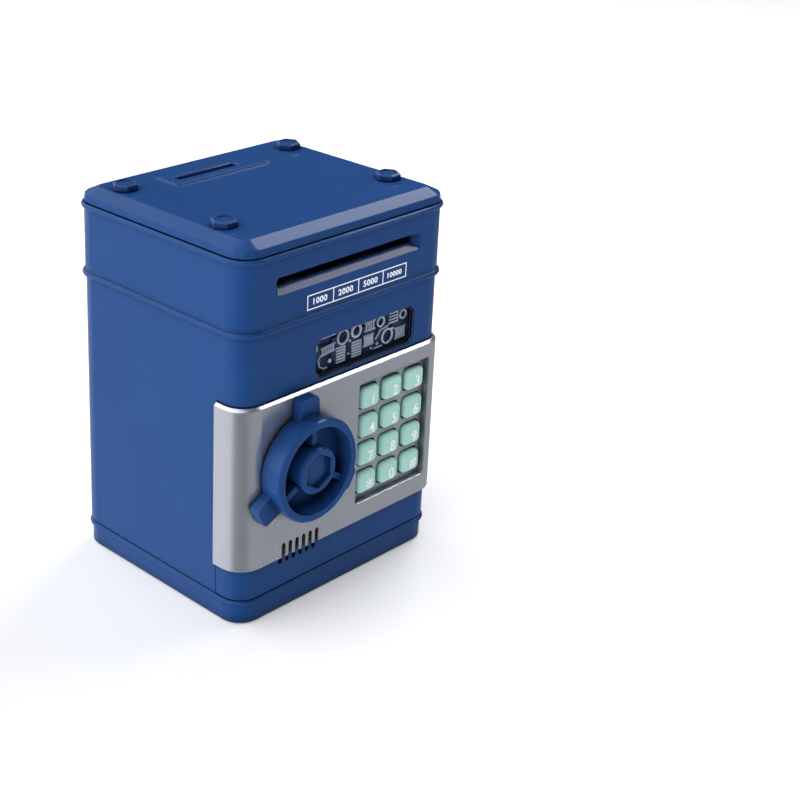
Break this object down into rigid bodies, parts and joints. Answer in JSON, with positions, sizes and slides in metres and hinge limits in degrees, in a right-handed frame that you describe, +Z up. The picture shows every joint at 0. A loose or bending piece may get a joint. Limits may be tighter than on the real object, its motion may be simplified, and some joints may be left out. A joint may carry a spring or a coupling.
{
  "type": "toy atm savings bank",
  "caption": "Toy cash-machine money box: safe-shaped casing with powered bill slot, coin slot, keypad door and three-lug knob that works a latch.",
  "frame": {"origin": "under the middle of the whole toy, knob included, on the surface it stands on", "axes": "+Z up, front with the door and keypad facing -Y, +X to the right as seen from the front"},
  "size_m": [0.131, 0.1256, 0.1816],
  "materials": {
    "blue_plastic": "satin moulded ABS, deep blue",
    "silver_plating": "vacuum-metallised ABS, satin silver",
    "circuit_foil": "silver relief print on a dark blue card",
    "mint_plastic": "pale mint keys with a white figure",
    "steel": "bright zinc-plated steel",
    "motor_can": "drawn metal can",
    "brass": "turned brass",
    "white_plastic": "natural white POM",
    "black_plastic": "black moulded plastic",
    "grey_rubber": "soft rubber",
    "board": "green circuit board",
    "clear_plastic": "clear polystyrene lens",
    "cell_sleeve": "plain printed sleeve"
  },
  "bodies": {
    "casing": {"base_plinth": "blue_plastic", "battery_box": "black_plastic", "battery_cell_1": "cell_sleeve", "battery_cell_2": "cell_sleeve", "battery_cell_3": "cell_sleeve", "battery_contact_front": "steel", "battery_contact_rear": "steel", "battery_cover": "blue_plastic", "battery_cover_screw": "steel", "bill_guide": "white_plastic", "circuit_panel": "circuit_foil", "coin_chute": "white_plastic", "control_board": "board", "feed_motor": "motor_can", "gear_axle": "steel", "hinge_pin_lower": "steel", "hinge_pin_upper": "steel", "latch_strike": "steel", "lid_bolt_front_left": "blue_plastic", "lid_bolt_front_right": "blue_plastic", "lid_bolt_rear_left": "blue_plastic", "lid_bolt_rear_right": "blue_plastic", "lower_casing": "blue_plastic", "mechanism_deck": "black_plastic", "top_lid": "blue_plastic", "upper_housing": "blue_plastic", "window_lens": "clear_plastic"},
    "door": {"door_shell": "blue_plastic", "door_faceplate": "silver_plating", "keypad_bed": "silver_plating", "keypad_membrane": "grey_rubber", "keypad_board": "board", "door_inner_cover": "blue_plastic", "speaker": "black_plastic", "lock_solenoid": "motor_can"},
    "knob": {"safe_knob": "blue_plastic", "knob_hub_cap": "blue_plastic", "knob_spindle": "white_plastic", "latch_lever": "steel", "spindle_screw": "steel"},
    "plunger": {"lock_plunger": "steel"},
    "drive_roller": {"drive_shaft": "steel", "drive_roller_left": "grey_rubber", "drive_roller_right": "grey_rubber", "roller_gear": "white_plastic"},
    "idler": {"idler_roller": "white_plastic"},
    "reduction": {"reduction_gear": "white_plastic"},
    "rotor": {"motor_pinion": "brass"},
    "key_1_body": {"key_1": "mint_plastic"},
    "key_2_body": {"key_2": "mint_plastic"},
    "key_3_body": {"key_3": "mint_plastic"},
    "key_4_body": {"key_4": "mint_plastic"},
    "key_5_body": {"key_5": "mint_plastic"},
    "key_6_body": {"key_6": "mint_plastic"},
    "key_7_body": {"key_7": "mint_plastic"},
    "key_8_body": {"key_8": "mint_plastic"},
    "key_9_body": {"key_9": "mint_plastic"},
    "key_star_body": {"key_star": "mint_plastic"},
    "key_0_body": {"key_0": "mint_plastic"},
    "key_hash_body": {"key_hash": "mint_plastic"}
  },
  "joints": [
    {"name": "door_hinge", "type": "hinge", "parent": "casing", "child": "door", "pos_m": [0.0612, -0.035, 0.0126], "axis": [0, 0, 1], "range_deg": [0, 95]},
    {"name": "knob_turn", "type": "hinge", "parent": "door", "child": "knob", "pos_m": [-0.03, -0.0513, 0.0721], "axis": [0, -1, 0], "range_deg": [0, 90]},
    {"name": "lock_plunger_slide", "type": "slide", "parent": "door", "child": "plunger", "axis": [0, 1, 0], "range_m": [0, 0.005], "stiffness_N_per_m": 40},
    {"name": "key_1_press", "type": "slide", "parent": "door", "child": "key_1_body", "axis": [0, 1, 0], "range_m": [0, 0.0015], "stiffness_N_per_m": 300},
    {"name": "key_2_press", "type": "slide", "parent": "door", "child": "key_2_body", "axis": [0, 1, 0], "range_m": [0, 0.0015], "stiffness_N_per_m": 300},
    {"name": "key_3_press", "type": "slide", "parent": "door", "child": "key_3_body", "axis": [0, 1, 0], "range_m": [0, 0.0015], "stiffness_N_per_m": 300},
    {"name": "key_4_press", "type": "slide", "parent": "door", "child": "key_4_body", "axis": [0, 1, 0], "range_m": [0, 0.0015], "stiffness_N_per_m": 300},
    {"name": "key_5_press", "type": "slide", "parent": "door", "child": "key_5_body", "axis": [0, 1, 0], "range_m": [0, 0.0015], "stiffness_N_per_m": 300},
    {"name": "key_6_press", "type": "slide", "parent": "door", "child": "key_6_body", "axis": [0, 1, 0], "range_m": [0, 0.0015], "stiffness_N_per_m": 300},
    {"name": "key_7_press", "type": "slide", "parent": "door", "child": "key_7_body", "axis": [0, 1, 0], "range_m": [0, 0.0015], "stiffness_N_per_m": 300},
    {"name": "key_8_press", "type": "slide", "parent": "door", "child": "key_8_body", "axis": [0, 1, 0], "range_m": [0, 0.0015], "stiffness_N_per_m": 300},
    {"name": "key_9_press", "type": "slide", "parent": "door", "child": "key_9_body", "axis": [0, 1, 0], "range_m": [0, 0.0015], "stiffness_N_per_m": 300},
    {"name": "key_star_press", "type": "slide", "parent": "door", "child": "key_star_body", "axis": [0, 1, 0], "range_m": [0, 0.0015], "stiffness_N_per_m": 300},
    {"name": "key_0_press", "type": "slide", "parent": "door", "child": "key_0_body", "axis": [0, 1, 0], "range_m": [0, 0.0015], "stiffness_N_per_m": 300},
    {"name": "key_hash_press", "type": "slide", "parent": "door", "child": "key_hash_body", "axis": [0, 1, 0], "range_m": [0, 0.0015], "stiffness_N_per_m": 300},
    {"name": "drive_roller_spin", "type": "hinge", "parent": "casing", "child": "drive_roller", "pos_m": [0, -0.0325, 0.1503], "axis": [1, 0, 0], "continuous": true},
    {"name": "idler_spin", "type": "hinge", "parent": "casing", "child": "idler", "pos_m": [0, -0.0325, 0.1617], "axis": [1, 0, 0], "continuous": true},
    {"name": "reduction_gear_spin", "type": "hinge", "parent": "casing", "child": "reduction", "pos_m": [0, -0.02121, 0.15189], "axis": [1, 0, 0], "continuous": true},
    {"name": "motor_spin", "type": "hinge", "parent": "casing", "child": "rotor", "pos_m": [0, -0.00786, 0.15072], "axis": [1, 0, 0], "continuous": true}
  ],
  "couplings": [
    {"joint": "idler_spin", "follows": "drive_roller_spin", "ratio": -1.75},
    {"joint": "reduction_gear_spin", "follows": "drive_roller_spin", "ratio": -1.8},
    {"joint": "motor_spin", "follows": "drive_roller_spin", "ratio": 4.8}
  ]
}
